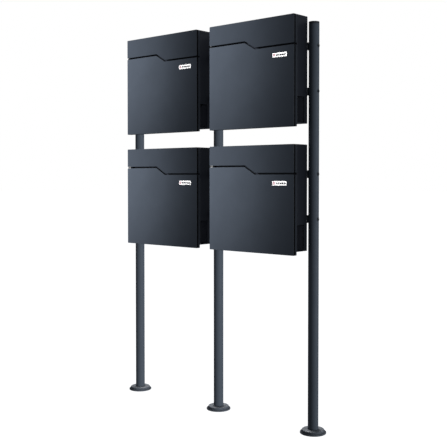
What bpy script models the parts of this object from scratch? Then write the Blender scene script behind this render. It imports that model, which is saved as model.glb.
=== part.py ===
"""Cluster mailbox unit: four sheet-steel letter boxes in two rows on three round posts.

Each box is a flat steel case with a newspaper tube at its foot, a top-hung flap over
the letter slot and a side-hung door below it. Flap and door meet at a stepped seam.
World frame: metres, +Z up, the boxes face -Y, origin on the floor under the middle post.
Box frame: X to the right, Y back from the front face, Z up from the top edge.
"""

import math

import bmesh
import bpy
from mathutils import Vector

# ---- Boxes ----
BOX_WIDTH = 0.370
BOX_DEPTH = 0.074
BODY_HEIGHT = 0.3515
SHEET = 0.0012
GAP = 0.0003
ROW_PITCH = 0.420
COLUMN_GAP = 0.062
UPPER_TOP_Z = 1.375
FRONT_Y = -0.0827

# ---- Front shells: flap above, door below, with a stepped seam between them ----
SHELL_DEPTH = 0.0168
DOOR_BOTTOM_Z = -0.363
SEAM_LEFT_Z = -0.0705
SEAM_RIGHT_Z = -0.0962
SEAM_STEP_X = (0.1615, 0.2065)
SEAM_GAP = 0.0055

# ---- Hinges: rods held in eyes on the case, inside the shells' returns ----
FRAME_Y = 0.0174
AXIS_Y = 0.0137
AXIS_INSET = 0.0033
ROD_RADIUS = 0.0015
ROD_HOLE_RADIUS = 0.0018
EYE_RADIUS = 0.0032
EYE_WIDTH = 0.008
NOTCH_WIDTH = 0.0094
FLAP_EYE_X = (0.024, 0.185, 0.346)
DOOR_EYE_Z = (-0.114, -0.217, -0.330)
ROD_END = 0.00015

# ---- Case openings ----
LETTER_SLOT_X = (0.022, 0.348)
LETTER_SLOT_Z = (-0.048, -0.014)
DOORWAY_X = (0.014, 0.358)
DOORWAY_Z = (-0.258, -0.104)
PAPER_SLOT_Y = (0.0190, 0.057)
PAPER_SLOT_Z = (-0.3485, -0.264)
DIVIDER_Z = -0.262
DIVIDER_UPTURN = 0.010

# ---- Lock: barrel in the case's sill, cam behind it, striker on the door ----
LOCK_X = 0.318
LOCK_Z = -0.076
LOCK_HEAD_RADIUS = 0.0095
LOCK_HEAD_Y = 0.0151
LOCK_BARREL_RADIUS = 0.008
LOCK_TAIL_RADIUS = 0.003
LOCK_TAIL_END_Y = 0.0265
CAM_Y = (0.0227, 0.0247)
CAM_EYE_RADIUS = 0.008
CAM_HALF_WIDTH = 0.006
CAM_REACH = 0.033
STRIKER_HALF_WIDTH = 0.008
STRIKER_Z = (-0.1110, -0.1095)
STRIKER_LIP_Y = (0.0252, 0.0267)
STRIKER_LIP_TOP_Z = -0.105

# ---- Name plate ----
PLATE_CENTRE = (0.312, -0.1277)
PLATE_SIZE = (0.0585, 0.0145)
PLATE_THICKNESS = 0.0012

# ---- Stand ----
POST_RADIUS = 0.0175
POST_WALL = 0.003
POST_X = (-0.421, 0.0, 0.421)
POST_TOP_Z = 1.357
CAP_RIM_HEIGHT = 0.008
CAP_EDGE_RADIUS = 0.0018
CAP_PLUG_LENGTH = 0.014
CAP_WALL = 0.002
FLANGE_RADIUS = 0.0435
FLANGE_THICKNESS = 0.005
FLANGE_CHAMFER = 0.0008
FLANGE_BOSS_TOP_Z = 0.025
ANCHOR_CIRCLE_RADIUS = 0.029
ANCHOR_HOLE_RADIUS = 0.0045
ANCHOR_COUNT = 4
ROSETTE_RADIUS = 0.0377
ROSETTE_HEIGHT = 0.008
ROSETTE_WALL = 0.0015
ROSETTE_EDGE_RADIUS = 0.0025

# ---- Crossbars: two behind each box, their tabs bolted to the sides of the posts ----
BAR_THICKNESS = 0.003
BAR_HEIGHT = 0.026
BAR_Z = (-0.0976, -0.2459)
BAR_TAB_END_Y = 0.010
BOLT_HOLE_RADIUS = 0.0033

# ---- Facets ----
TUBE_SEGMENTS = 24
RING_SEGMENTS = 28
LOCK_SEGMENTS = 20
ROD_SEGMENTS = 12
HOLE_SEGMENTS = 12
EYE_ARC_STEPS = 6
CAM_ARC_STEPS = 8
EDGE_ARC_STEPS = 2
MERGE_DISTANCE = 1e-6
OVERSHOOT = 0.001

SHARP_ANGLE = math.radians(35.0)


# ---- Materials ----
def principled(name, colour, metallic, roughness):
    """A Principled material with one colour."""
    material = bpy.data.materials.new(name)
    material.use_nodes = True
    shader = material.node_tree.nodes["Principled BSDF"]
    shader.inputs["Base Color"].default_value = (*colour, 1.0)
    shader.inputs["Metallic"].default_value = metallic
    shader.inputs["Roughness"].default_value = roughness
    return material


def make_materials():
    """One material for each kind of sub-part."""
    return {
        "case": principled("case_powder_coat", (0.030, 0.036, 0.044), 0.0, 0.50),
        "front": principled("front_powder_coat", (0.045, 0.054, 0.066), 0.0, 0.45),
        "post": principled("post_powder_coat", (0.050, 0.058, 0.070), 0.0, 0.48),
        "bracket": principled("bracket_powder_coat", (0.025, 0.029, 0.035), 0.0, 0.55),
        "cap": principled("cap_plastic", (0.020, 0.021, 0.023), 0.0, 0.60),
        "rosette": principled("rosette_powder_coat", (0.045, 0.052, 0.062), 0.0, 0.50),
        "rod": principled("rod_steel", (0.55, 0.55, 0.56), 1.0, 0.35),
        "lock": principled("lock_chrome", (0.70, 0.70, 0.70), 1.0, 0.18),
        "cam": principled("cam_zinc", (0.58, 0.58, 0.55), 1.0, 0.42),
        "name_plate": principled("name_plate_card", (0.80, 0.79, 0.77), 0.0, 0.40),
    }


# ---- Mesh tools ----
def finish_mesh(name, bm, origin=(0.0, 0.0, 0.0)):
    """Turn a bmesh into a mesh whose own zero is the given point."""
    bmesh.ops.remove_doubles(bm, verts=bm.verts[:], dist=MERGE_DISTANCE)
    bmesh.ops.recalc_face_normals(bm, faces=bm.faces[:])
    bmesh.ops.translate(bm, verts=bm.verts[:], vec=-Vector(origin))
    mesh = bpy.data.meshes.new(name)
    bm.to_mesh(mesh)
    bm.free()
    return mesh


def point_on(axis, across, up, along):
    """A 3-D point from an outline's two coordinates and its place along the axis."""
    if axis == "X":
        return Vector((along, across, up))
    if axis == "Y":
        return Vector((across, along, up))
    return Vector((across, up, along))


def prism(outline, axis, low, high):
    """An outline extruded along X (outline in Y, Z), Y (in X, Z) or Z (in X, Y)."""
    bm = bmesh.new()
    face = bm.faces.new([bm.verts.new(point_on(axis, a, b, low)) for a, b in outline])
    swept = bmesh.ops.extrude_face_region(bm, geom=[face])
    moved = [item for item in swept["geom"] if isinstance(item, bmesh.types.BMVert)]
    bmesh.ops.translate(bm, verts=moved, vec=point_on(axis, 0.0, 0.0, high - low))
    return bm


def block(x_range, y_range, z_range):
    """A rectangular block between three pairs of coordinates."""
    corners = [(x_range[0], y_range[0]), (x_range[1], y_range[0]),
               (x_range[1], y_range[1]), (x_range[0], y_range[1])]
    return prism(corners, "Z", z_range[0], z_range[1])


def turned(profile, axis, centre, segments):
    """A profile of (radius, place along the axis) spun round an axis through centre."""
    bm = bmesh.new()
    middle = Vector(centre)
    verts = [bm.verts.new(middle + point_on(axis, r, 0.0, h)) for r, h in profile]
    if axis == "X":
        for vert, (radius, height) in zip(verts, profile):
            vert.co = middle + Vector((height, radius, 0.0))
    pairs = list(zip(verts, verts[1:]))
    if profile[0][0] > 0.0:
        pairs.append((verts[-1], verts[0]))
    edges = [bm.edges.new(pair) for pair in pairs]
    direction = {"X": (1, 0, 0), "Y": (0, 1, 0), "Z": (0, 0, 1)}[axis]
    bmesh.ops.spin(bm, geom=verts + edges, cent=middle, axis=direction,
                   angle=math.tau, steps=segments, use_merge=True)
    return bm


def round_bar(axis, centre, radius, low, high, segments):
    """A plain round bar between two places along its axis."""
    profile = [(0.0, low), (radius, low), (radius, high), (0.0, high)]
    return turned(profile, axis, centre, segments)


def arc(centre, radius, start_deg, end_deg, steps):
    """Points along an arc in an outline's plane."""
    points = []
    for step in range(steps + 1):
        angle = math.radians(start_deg + (end_deg - start_deg) * step / steps)
        points.append((centre[0] + radius * math.cos(angle),
                       centre[1] + radius * math.sin(angle)))
    return points


def helper_object(bm):
    """A boolean operand: hidden from renders, drawn as wire."""
    operand = bpy.data.objects.new("operand", finish_mesh("operand", bm))
    operand.hide_render = True
    operand.display_type = "WIRE"
    bpy.context.scene.collection.objects.link(operand)
    return operand


def combine(bm, additions=(), cuts=()):
    """Join additions to a solid, then take the cuts away, and return the new bmesh."""
    body = helper_object(bm)
    for operation, tools in (("UNION", additions), ("DIFFERENCE", cuts)):
        for tool in tools:
            modifier = body.modifiers.new(operation, "BOOLEAN")
            modifier.operation = operation
            modifier.solver = "EXACT"
            modifier.object = helper_object(tool)
    graph = bpy.context.evaluated_depsgraph_get()
    result = bmesh.new()
    result.from_mesh(body.evaluated_get(graph).to_mesh())
    operands = [modifier.object for modifier in body.modifiers]
    for item in [body, *operands]:
        mesh = item.data
        bpy.data.objects.remove(item)
        bpy.data.meshes.remove(mesh)
    return result


def inset_outline(outline, distance):
    """The outline moved inwards by a distance, with mitred corners."""
    count = len(outline)
    result = []
    for index in range(count):
        before = Vector(outline[index - 1])
        here = Vector(outline[index])
        after = Vector(outline[(index + 1) % count])
        first = (here - before).normalized()
        second = (after - here).normalized()
        inward_first = Vector((-first.y, first.x))
        inward_second = Vector((-second.y, second.x))
        mitre = (inward_first + inward_second).normalized()
        result.append(here + mitre * distance / mitre.dot(inward_first))
    return [(point.x, point.y) for point in result]


def tray(outline, depth, wall):
    """A folded sheet tray: a front plate at Y = 0 with returns round its whole edge."""
    inner = inset_outline(outline, wall)
    rings = [(outline, 0.0), (outline, depth), (inner, depth), (inner, wall)]
    bm = bmesh.new()
    loops = [[bm.verts.new((x, y, z)) for x, z in ring] for ring, y in rings]
    count = len(outline)
    for near, far in zip(loops, loops[1:]):
        for index in range(count):
            after = (index + 1) % count
            bm.faces.new([near[index], near[after], far[after], far[index]])
    bm.faces.new(loops[0])
    bm.faces.new(loops[-1])
    return bm


# ---- Outlines of the front shells ----
def seam_line(offset):
    """The stepped seam from left to right, moved up by an offset square to itself."""
    line = [Vector((0.0, SEAM_LEFT_Z)), Vector((SEAM_STEP_X[0], SEAM_LEFT_Z)),
            Vector((SEAM_STEP_X[1], SEAM_RIGHT_Z)), Vector((BOX_WIDTH, SEAM_RIGHT_Z))]
    slope = (line[2] - line[1]).normalized()
    slide = offset * math.tan(math.atan2(-slope.y, slope.x) / 2.0)
    moves = [Vector((0.0, offset)), Vector((slide, offset)),
             Vector((slide, offset)), Vector((0.0, offset))]
    return [tuple(point + move) for point, move in zip(line, moves)]


def flap_outline():
    return seam_line(SEAM_GAP / 2.0) + [(BOX_WIDTH, 0.0), (0.0, 0.0)]


def door_outline():
    top = list(reversed(seam_line(-SEAM_GAP / 2.0)))
    return [(0.0, DOOR_BOTTOM_Z), (BOX_WIDTH, DOOR_BOTTOM_Z)] + top


# ---- Pieces of one box, in the box frame ----
def span(centre, width):
    return (centre - width / 2.0, centre + width / 2.0)


def eye_outline(along_wall):
    """Side view of a hinge eye: a rounded lug that stands forward from the case frame."""
    root_y = FRAME_Y + SHEET / 2.0
    nose = arc((AXIS_Y, along_wall), EYE_RADIUS, -90.0, -270.0, EYE_ARC_STEPS)
    return [(root_y, along_wall - EYE_RADIUS)] + nose + [(root_y, along_wall + EYE_RADIUS)]


def hinge_relief(along_wall, outward):
    """What is cut from a return beyond its hinge axis, so that it turns clear of the case."""
    corner = arc((AXIS_Y, along_wall), AXIS_INSET, 0.0, outward * 90.0, EYE_ARC_STEPS)
    far_y = SHELL_DEPTH + AXIS_INSET
    beyond = along_wall + outward * (AXIS_INSET + OVERSHOOT)
    return [(far_y, along_wall)] + corner + [(AXIS_Y, beyond), (far_y, beyond)]


def swap(outline):
    return [(b, a) for a, b in outline]


def case_shell():
    """The box's sheet case: top, bottom and sides, and a front frame with two openings."""
    solid = block((0.0, BOX_WIDTH), (FRAME_Y, BOX_DEPTH - SHEET - GAP), (-BODY_HEIGHT, 0.0))
    frame_span = (FRAME_Y - OVERSHOOT, FRAME_Y + SHEET + OVERSHOOT)
    cavity = block((SHEET, BOX_WIDTH - SHEET), (FRAME_Y + SHEET, BOX_DEPTH),
                   (-BODY_HEIGHT + SHEET, -SHEET))
    paper_slots = block((-OVERSHOOT, BOX_WIDTH + OVERSHOOT), PAPER_SLOT_Y, PAPER_SLOT_Z)
    lock_hole = round_bar("Y", (LOCK_X, 0.0, LOCK_Z), LOCK_BARREL_RADIUS + GAP,
                          *frame_span, LOCK_SEGMENTS)
    flap_eyes = [prism(eye_outline(-AXIS_INSET), "X", *span(x, EYE_WIDTH)) for x in FLAP_EYE_X]
    door_eyes = [prism(swap(eye_outline(AXIS_INSET)), "Z", *span(z, EYE_WIDTH))
                 for z in DOOR_EYE_Z]
    rod_bore = round_bar("X", (0.0, AXIS_Y, -AXIS_INSET), ROD_HOLE_RADIUS,
                         0.0, BOX_WIDTH, HOLE_SEGMENTS)
    pin_bore = round_bar("Z", (AXIS_INSET, AXIS_Y, 0.0), ROD_HOLE_RADIUS,
                         DOOR_BOTTOM_Z, SEAM_LEFT_Z, HOLE_SEGMENTS)
    return combine(solid, flap_eyes + door_eyes,
                   [cavity, block(LETTER_SLOT_X, frame_span, LETTER_SLOT_Z),
                    block(DOORWAY_X, frame_span, DOORWAY_Z), paper_slots, lock_hole,
                    rod_bore, pin_bore])


def back_panel():
    return block((0.0, BOX_WIDTH), (BOX_DEPTH - SHEET, BOX_DEPTH), (-BODY_HEIGHT, 0.0))


def divider():
    """The floor of the letter compartment, turned up where it meets the back panel."""
    front, back = FRAME_Y + SHEET + GAP, BOX_DEPTH - SHEET - 2.0 * GAP
    low = DIVIDER_Z - SHEET
    outline = [(front, low), (back, low), (back, DIVIDER_Z + DIVIDER_UPTURN),
               (back - SHEET, DIVIDER_Z + DIVIDER_UPTURN), (back - SHEET, DIVIDER_Z),
               (front, DIVIDER_Z)]
    return prism(outline, "X", SHEET + GAP, BOX_WIDTH - SHEET - GAP)


def flap():
    """The letter flap: a tray with its rod holes, hinge relief and eye notches."""
    cuts = [prism(hinge_relief(-AXIS_INSET, 1), "X", -OVERSHOOT, BOX_WIDTH + OVERSHOOT)]
    cuts += [round_bar("X", (0.0, AXIS_Y, -AXIS_INSET), ROD_HOLE_RADIUS,
                       middle - 2.0 * SHEET, middle + 2.0 * SHEET, HOLE_SEGMENTS)
             for middle in (0.0, BOX_WIDTH)]
    notch_y = (AXIS_Y - EYE_RADIUS - OVERSHOOT, SHELL_DEPTH + OVERSHOOT)
    cuts += [block(span(x, NOTCH_WIDTH), notch_y, (-2.0 * SHEET, OVERSHOOT))
             for x in FLAP_EYE_X]
    return combine(tray(flap_outline(), SHELL_DEPTH, SHEET), cuts=cuts)


def door():
    """The door: a tray with its pin holes, relief and notches, and the lock's striker."""
    cuts = [prism(swap(hinge_relief(AXIS_INSET, -1)), "Z",
                  DOOR_BOTTOM_Z - OVERSHOOT, SEAM_LEFT_Z + OVERSHOOT)]
    cuts += [round_bar("Z", (AXIS_INSET, AXIS_Y, 0.0), ROD_HOLE_RADIUS,
                       middle - 2.0 * SHEET, middle + 2.0 * SHEET, HOLE_SEGMENTS)
             for middle in (DOOR_BOTTOM_Z, SEAM_LEFT_Z - SEAM_GAP / 2.0)]
    notch_y = (AXIS_Y - EYE_RADIUS - OVERSHOOT, SHELL_DEPTH + OVERSHOOT)
    cuts += [block((-OVERSHOOT, 2.0 * SHEET), notch_y, span(z, NOTCH_WIDTH))
             for z in DOOR_EYE_Z]
    foot, bar_top = STRIKER_Z
    lip_front, lip_back = STRIKER_LIP_Y
    hook = [(SHEET / 2.0, foot), (lip_back, foot), (lip_back, STRIKER_LIP_TOP_Z),
            (lip_front, STRIKER_LIP_TOP_Z), (lip_front, bar_top), (SHEET / 2.0, bar_top)]
    striker = prism(hook, "X", *span(LOCK_X, 2.0 * STRIKER_HALF_WIDTH))
    return combine(tray(door_outline(), SHELL_DEPTH, SHEET), [striker], cuts)


def flap_rod():
    return round_bar("X", (0.0, AXIS_Y, -AXIS_INSET), ROD_RADIUS,
                     ROD_END, BOX_WIDTH - ROD_END, ROD_SEGMENTS)


def door_rod():
    top = SEAM_LEFT_Z - SEAM_GAP / 2.0
    return round_bar("Z", (AXIS_INSET, AXIS_Y, 0.0), ROD_RADIUS,
                     DOOR_BOTTOM_Z + ROD_END, top + 2.0 * GAP, ROD_SEGMENTS)


def lock_barrel():
    head_back = FRAME_Y - GAP
    shoulder = CAM_Y[0] - GAP
    profile = [(0.0, LOCK_HEAD_Y), (LOCK_HEAD_RADIUS, LOCK_HEAD_Y),
               (LOCK_HEAD_RADIUS, head_back), (LOCK_BARREL_RADIUS, head_back),
               (LOCK_BARREL_RADIUS, shoulder), (LOCK_TAIL_RADIUS, shoulder),
               (LOCK_TAIL_RADIUS, LOCK_TAIL_END_Y), (0.0, LOCK_TAIL_END_Y)]
    return turned(profile, "Y", (LOCK_X, 0.0, LOCK_Z), LOCK_SEGMENTS)


def lock_cam():
    """The cam, unlocked: an arm that points left from its eye on the barrel's tail."""
    sweep = math.degrees(math.acos(-CAM_HALF_WIDTH / CAM_EYE_RADIUS)) - 90.0
    eye = arc((LOCK_X, LOCK_Z), CAM_EYE_RADIUS, -180.0 + sweep, 180.0 - sweep, CAM_ARC_STEPS)
    tip_x = LOCK_X - CAM_REACH + CAM_HALF_WIDTH
    tip = arc((tip_x, LOCK_Z), CAM_HALF_WIDTH, 90.0, 270.0, CAM_ARC_STEPS)
    hole = round_bar("Y", (LOCK_X, 0.0, LOCK_Z), LOCK_TAIL_RADIUS + GAP,
                     CAM_Y[0] - OVERSHOOT, CAM_Y[1] + OVERSHOOT, HOLE_SEGMENTS)
    return combine(prism(eye + tip, "Y", *CAM_Y), cuts=[hole])


def name_plate():
    x, z = PLATE_CENTRE
    return block(span(x, PLATE_SIZE[0]), (-PLATE_THICKNESS - GAP, -GAP), span(z, PLATE_SIZE[1]))


# ---- Pieces of the stand, each with its own zero on its post's axis or its middle ----
def bolt_bores(low, high):
    """Bores along X for the bolts that hold the crossbars, at each bar's height."""
    heights = [UPPER_TOP_Z - row * ROW_PITCH + z for row in (0, 1) for z in BAR_Z]
    return [round_bar("X", (0.0, 0.0, z), BOLT_HOLE_RADIUS, low, high, HOLE_SEGMENTS)
            for z in heights]


def post():
    low, high = FLANGE_THICKNESS + GAP, POST_TOP_Z - CAP_RIM_HEIGHT
    bore = POST_RADIUS - POST_WALL
    profile = [(POST_RADIUS, low), (POST_RADIUS, high), (bore, high), (bore, low)]
    reach = POST_RADIUS + OVERSHOOT
    return combine(turned(profile, "Z", (0.0, 0.0, 0.0), TUBE_SEGMENTS),
                   cuts=bolt_bores(-reach, reach))


def post_cap():
    """A push-in cap: a rim as wide as the post, rounded at its edge, on a hollow plug."""
    top, seat = POST_TOP_Z, POST_TOP_Z - CAP_RIM_HEIGHT + GAP
    plug = POST_RADIUS - POST_WALL - GAP
    foot = seat - CAP_PLUG_LENGTH
    edge = arc((POST_RADIUS - CAP_EDGE_RADIUS, top - CAP_EDGE_RADIUS), CAP_EDGE_RADIUS,
               90.0, 0.0, EDGE_ARC_STEPS)
    profile = [(0.0, top)] + edge + [(POST_RADIUS, seat), (plug, seat), (plug, foot),
                                     (plug - CAP_WALL, foot), (plug - CAP_WALL, seat - GAP),
                                     (0.0, seat - GAP)]
    return turned(profile, "Z", (0.0, 0.0, 0.0), TUBE_SEGMENTS)


def foot_flange():
    """The foot: a round plate with a boss inside the post and holes for floor anchors."""
    boss = POST_RADIUS - POST_WALL - GAP
    profile = [(0.0, 0.0), (FLANGE_RADIUS, 0.0),
               (FLANGE_RADIUS, FLANGE_THICKNESS - FLANGE_CHAMFER),
               (FLANGE_RADIUS - FLANGE_CHAMFER, FLANGE_THICKNESS), (boss, FLANGE_THICKNESS),
               (boss, FLANGE_BOSS_TOP_Z - FLANGE_CHAMFER),
               (boss - FLANGE_CHAMFER, FLANGE_BOSS_TOP_Z), (0.0, FLANGE_BOSS_TOP_Z)]
    anchors = []
    for index in range(ANCHOR_COUNT):
        angle = math.tau * (index + 0.5) / ANCHOR_COUNT
        centre = (ANCHOR_CIRCLE_RADIUS * math.cos(angle), ANCHOR_CIRCLE_RADIUS * math.sin(angle), 0.0)
        anchors.append(round_bar("Z", centre, ANCHOR_HOLE_RADIUS, -OVERSHOOT,
                                 FLANGE_THICKNESS + OVERSHOOT, HOLE_SEGMENTS))
    return combine(turned(profile, "Z", (0.0, 0.0, 0.0), RING_SEGMENTS), cuts=anchors)


def foot_rosette():
    """The cover ring over the anchors: a thin inverted cup with a hole for the post."""
    low = FLANGE_THICKNESS + GAP
    top = low + ROSETTE_HEIGHT
    bore = POST_RADIUS + GAP
    bend = (ROSETTE_RADIUS - ROSETTE_EDGE_RADIUS, top - ROSETTE_EDGE_RADIUS)
    outer = arc(bend, ROSETTE_EDGE_RADIUS, 0.0, 90.0, EDGE_ARC_STEPS)
    inner = arc(bend, ROSETTE_EDGE_RADIUS - ROSETTE_WALL, 90.0, 0.0, EDGE_ARC_STEPS)
    profile = ([(ROSETTE_RADIUS - ROSETTE_WALL, low), (ROSETTE_RADIUS, low)] + outer
               + [(bore, top), (bore, top - ROSETTE_WALL)] + inner)
    return turned(profile, "Z", (0.0, 0.0, 0.0), RING_SEGMENTS)


def bar_half_length():
    """From a crossbar's middle to the outside of its tab, just short of the post."""
    return (POST_X[2] - 2.0 * (POST_RADIUS + GAP)) / 2.0


def crossbar():
    """A flat bar behind a box with both ends turned back to lie along the posts."""
    half = bar_half_length()
    front = FRONT_Y + BOX_DEPTH + GAP
    inner = half - BAR_THICKNESS
    outline = [(-half, front), (half, front), (half, BAR_TAB_END_Y), (inner, BAR_TAB_END_Y),
               (inner, front + BAR_THICKNESS), (-inner, front + BAR_THICKNESS),
               (-inner, BAR_TAB_END_Y), (-half, BAR_TAB_END_Y)]
    bore = round_bar("X", (0.0, 0.0, 0.0), BOLT_HOLE_RADIUS, -half - OVERSHOOT,
                     half + OVERSHOOT, HOLE_SEGMENTS)
    return combine(prism(outline, "Z", *span(0.0, BAR_HEIGHT)), cuts=[bore])


# ---- Assembly ----
def make_mesh(name, bm, origin, material):
    mesh = finish_mesh(name, bm, origin)
    mesh.materials.append(material)
    mesh.shade_smooth()
    mesh.set_sharp_from_angle(angle=SHARP_ANGLE)
    return mesh


def place(name, mesh, location):
    """Add one named sub-part whose own zero sits at the location."""
    sub_part = bpy.data.objects.new(name, mesh)
    sub_part.location = location
    bpy.context.scene.collection.objects.link(sub_part)
    return sub_part


def box_meshes(materials):
    """Each piece of a box as (mesh, its zero in the box frame)."""
    corner = (0.0, 0.0, 0.0)
    flap_axis = (0.0, AXIS_Y, -AXIS_INSET)
    door_axis = (AXIS_INSET, AXIS_Y, SEAM_LEFT_Z)
    lock_axis = (LOCK_X, CAM_Y[0], LOCK_Z)
    pieces = {
        "case": (case_shell(), corner, "case"),
        "back_panel": (back_panel(), corner, "case"),
        "divider": (divider(), corner, "case"),
        "flap": (flap(), flap_axis, "front"),
        "flap_rod": (flap_rod(), flap_axis, "rod"),
        "door": (door(), door_axis, "front"),
        "door_rod": (door_rod(), door_axis, "rod"),
        "lock_barrel": (lock_barrel(), lock_axis, "lock"),
        "lock_cam": (lock_cam(), lock_axis, "cam"),
        "name_plate": (name_plate(), door_axis, "name_plate"),
    }
    return {name: (make_mesh(name, bm, origin, materials[look]), Vector(origin))
            for name, (bm, origin, look) in pieces.items()}


def build_boxes(materials):
    meshes = box_meshes(materials)
    rows = {"upper": UPPER_TOP_Z, "lower": UPPER_TOP_Z - ROW_PITCH}
    columns = {"left": -COLUMN_GAP / 2.0 - BOX_WIDTH, "right": COLUMN_GAP / 2.0}
    for row, top_z in rows.items():
        for column, left_x in columns.items():
            corner = Vector((left_x, FRONT_Y, top_z))
            for name, (mesh, origin) in meshes.items():
                place(f"{row}_{column}_{name}", mesh, corner + origin)


def build_stand(materials):
    zero = (0.0, 0.0, 0.0)
    uprights = {
        "post": make_mesh("post", post(), zero, materials["post"]),
        "post_cap": make_mesh("post_cap", post_cap(), zero, materials["cap"]),
        "foot_flange": make_mesh("foot_flange", foot_flange(), zero, materials["rosette"]),
        "foot_rosette": make_mesh("foot_rosette", foot_rosette(), zero, materials["rosette"]),
    }
    for side, x in zip(("left", "middle", "right"), POST_X):
        for name, mesh in uprights.items():
            place(f"{side}_{name}", mesh, (x, 0.0, 0.0))
    bar = make_mesh("crossbar", crossbar(), zero, materials["bracket"])
    middle = POST_RADIUS + GAP + bar_half_length()
    for row, drop in (("upper", 0.0), ("lower", ROW_PITCH)):
        for column, sign in (("left", -1.0), ("right", 1.0)):
            for level, z in zip(("top", "bottom"), BAR_Z):
                place(f"{row}_{column}_{level}_crossbar", bar,
                      (sign * middle, 0.0, UPPER_TOP_Z - drop + z))


def main():
    for item in list(bpy.data.objects):
        bpy.data.objects.remove(item)
    materials = make_materials()
    build_boxes(materials)
    build_stand(materials)


main()
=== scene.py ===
"""Looks of the cluster mailbox unit: folded sheet shells, turned posts, fixings and finishes.

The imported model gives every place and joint. Pieces of a box are made once, in the box
frame (X to the right, Y back from the front face, Z up from the top edge), and placed
four times. Pieces of the stand are made once and placed at each post or crossbar.
"""

import math

import bmesh
import bpy
from mathutils import Matrix, Vector


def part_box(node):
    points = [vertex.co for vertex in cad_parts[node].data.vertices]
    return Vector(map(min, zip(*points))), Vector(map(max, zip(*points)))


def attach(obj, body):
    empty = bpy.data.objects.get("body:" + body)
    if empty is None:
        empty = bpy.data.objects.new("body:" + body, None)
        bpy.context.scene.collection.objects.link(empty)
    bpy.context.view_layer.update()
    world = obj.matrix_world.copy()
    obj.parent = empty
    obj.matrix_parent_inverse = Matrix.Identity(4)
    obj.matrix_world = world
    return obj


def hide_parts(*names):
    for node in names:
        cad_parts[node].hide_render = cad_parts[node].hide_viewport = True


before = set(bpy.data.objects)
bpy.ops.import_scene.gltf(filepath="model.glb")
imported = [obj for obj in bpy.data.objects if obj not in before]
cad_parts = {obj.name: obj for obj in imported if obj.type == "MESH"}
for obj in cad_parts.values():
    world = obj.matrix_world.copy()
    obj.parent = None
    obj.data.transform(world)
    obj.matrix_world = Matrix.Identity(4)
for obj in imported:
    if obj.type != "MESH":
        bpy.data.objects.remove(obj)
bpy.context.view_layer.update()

# ---- Mesh making: chamfers, how far a cutting tool stands past its work, facets and angles ----
EDGE, FINE_EDGE = 0.0003, 0.0002
OVERSHOOT = 0.001
MERGE_DISTANCE = 1e-6
ROUND = 96
SMOOTH = math.radians(32.0)
BEVELLED_FROM = math.radians(50.0)

# ---- Places read from the frame ----
ROWS = ("upper", "lower")
COLUMNS = ("left", "right")
SIDES = ("left", "middle", "right")
BAR_LEVELS = ("top", "bottom")
BODY = "stand"
FLAP_LOW, FLAP_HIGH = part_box("upper_left_flap")
DOOR_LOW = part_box("upper_left_door")[0]
CASE_LOW, CASE_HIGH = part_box("upper_left_case")
BACK_LOW, BACK_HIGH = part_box("upper_left_back_panel")
PLATE_LOW, PLATE_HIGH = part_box("upper_left_name_plate")
BARREL_LOW, BARREL_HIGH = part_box("upper_left_lock_barrel")
CAM_LOW, CAM_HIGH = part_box("upper_left_lock_cam")
POST_LOW, POST_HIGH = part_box("middle_post")
CAP_LOW, CAP_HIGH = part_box("middle_post_cap")
FLANGE_LOW, FLANGE_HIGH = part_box("middle_foot_flange")
ROSETTE_LOW, ROSETTE_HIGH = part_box("middle_foot_rosette")
BAR_LOW, BAR_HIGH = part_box("upper_left_top_crossbar")

# ---- Sizes of a box, in the box frame ----
BOX_ORIGIN = Vector((FLAP_LOW.x, FLAP_LOW.y, FLAP_HIGH.z))
WIDTH = FLAP_HIGH.x - FLAP_LOW.x
DOOR_BOTTOM = DOOR_LOW.z - BOX_ORIGIN.z
CASE_FRONT = 0.0174
CASE_BACK = CASE_HIGH.y - BOX_ORIGIN.y
CASE_BOTTOM = CASE_LOW.z - BOX_ORIGIN.z
BACK_FRONT = BACK_LOW.y - BOX_ORIGIN.y
BACK_BACK = BACK_HIGH.y - BOX_ORIGIN.y
SHEET = BACK_BACK - BACK_FRONT
BEND = 0.0016
CORNER = 0.0024

# ---- Flap, door and the stepped seam between them ----
SHELL_DEPTH = FLAP_HIGH.y - FLAP_LOW.y
SEAM_LEFT, SEAM_RIGHT = -0.0705, -0.0962
SEAM_STEP = (0.1615, 0.2065)
SEAM_GAP = 0.0055
# Behind each front's bend runs a groove. The black strip laid in it, all round each front, is painted
# shade: it stands in for the dark shadow line along the fronts' edges.
SHADOW_LINE = (0.0016, 0.0085)
SHADOW_LINE_DEPTH = 0.0006
BUFFER_FRONT = 0.0024
BUFFERS = (((0.0016, 0.0150), SEAM_LEFT), ((WIDTH - 0.0034, WIDTH - 0.0016), SEAM_RIGHT))

# ---- Hinges: rods in eyes on the case, inside the shells' returns ----
AXIS_Y, AXIS_INSET = 0.0137, 0.0033
FLAP_AXIS, DOOR_AXIS = (0.0, AXIS_Y, -AXIS_INSET), (AXIS_INSET, AXIS_Y, 0.0)
EYE_RADIUS, EYE_WIDTH = 0.0032, 0.008
NOTCH_WIDTH = 0.0094
NOTCH_Y = (AXIS_Y - EYE_RADIUS - 0.001, SHELL_DEPTH + OVERSHOOT)
FLAP_EYES = (0.024, 0.185, 0.346)
DOOR_EYES = (-0.114, -0.217, -0.330)
ROD_RADIUS, ROD_HOLE, ROD_END = 0.0015, 0.0018, 0.00015

# ---- Case openings, each as (low, high) ranges, and the lid's lapped edge ----
LETTER_SLOT = ((0.022, 0.348), (-0.048, -0.014))
DOORWAY = ((0.014, 0.358), (-0.258, -0.104))
PAPER_SLOT = ((0.0190, 0.057), (-0.3485, -0.264))
LID_EDGE = (-0.0119, -0.0112)
LID_GROOVE = 0.0005

# ---- Lock, and the striker on the door that its cam drops in front of ----
LOCK_X = 0.318
LOCK = Vector((LOCK_X, 0.0, -0.076))
LOCK_HOLE = 0.0083
STRIKER_HALF = 0.008
STRIKER_ARM = (-0.1110, -0.1095)
STRIKER_LIP, STRIKER_LIP_TOP = (0.0252, 0.0267), -0.105

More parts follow.
